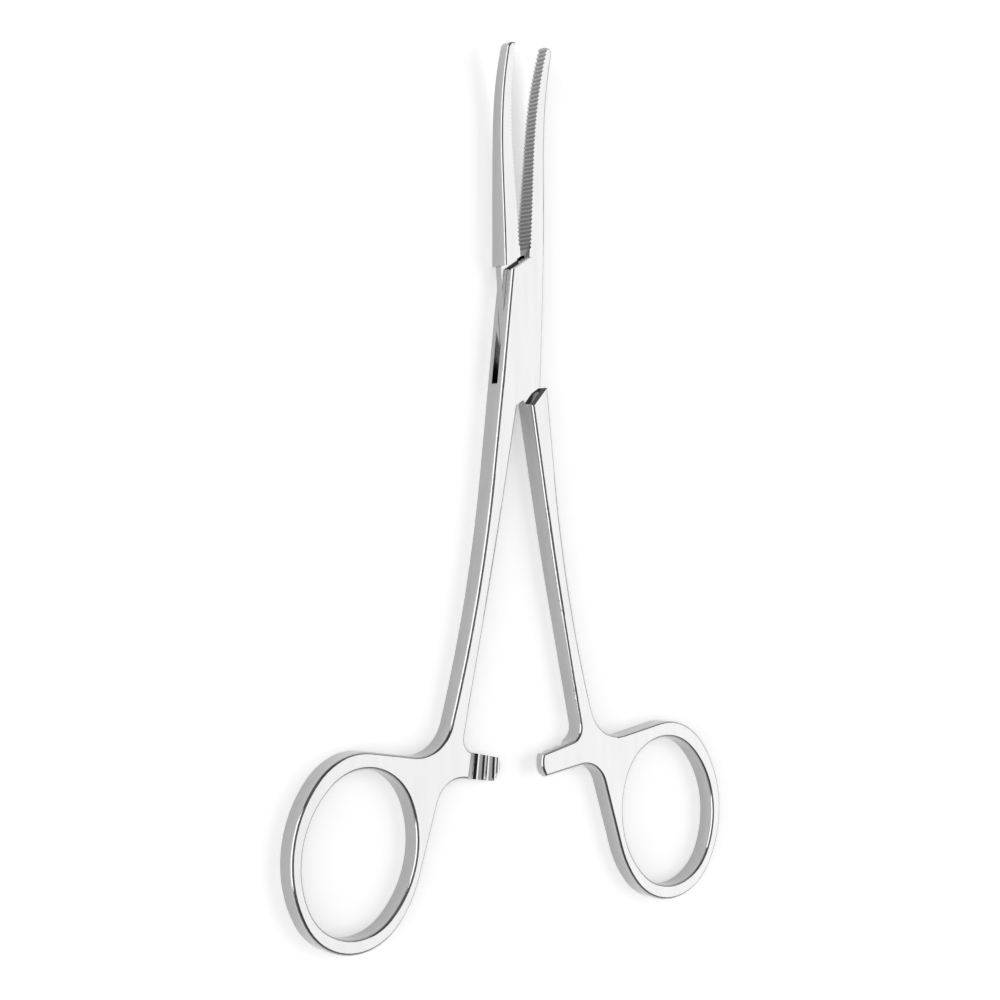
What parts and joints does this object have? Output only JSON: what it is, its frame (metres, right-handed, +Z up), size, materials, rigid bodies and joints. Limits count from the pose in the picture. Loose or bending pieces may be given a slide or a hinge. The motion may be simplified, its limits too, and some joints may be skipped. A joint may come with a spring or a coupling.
{
  "type": "hemostat forceps",
  "caption": "Box-lock hemostat forceps with finger rings, ratchet arms and slightly curved, cross-serrated jaws, standing a little open.",
  "frame": {"origin": "on the lock pin's axis, on the flat back face that the forceps lies on", "axes": "+Z up out of the front face, +Y along the forceps to the jaw tips, +X to the right seen from the front"},
  "size_m": [0.0878, 0.1386, 0.0055],
  "materials": {
    "steel": "fine satin polish",
    "pin_steel": "fine satin polish, ground flush"
  },
  "bodies": {
    "box_half": {"box_half": "steel", "lock_pin": "pin_steel"},
    "tongue_half": {"tongue_half": "steel"}
  },
  "joints": [
    {"name": "box_lock", "type": "hinge", "parent": "box_half", "child": "tongue_half", "pos_m": [0, 0, 0.00195], "axis": [0, 0, 1], "range_deg": [-8, 52]}
  ]
}
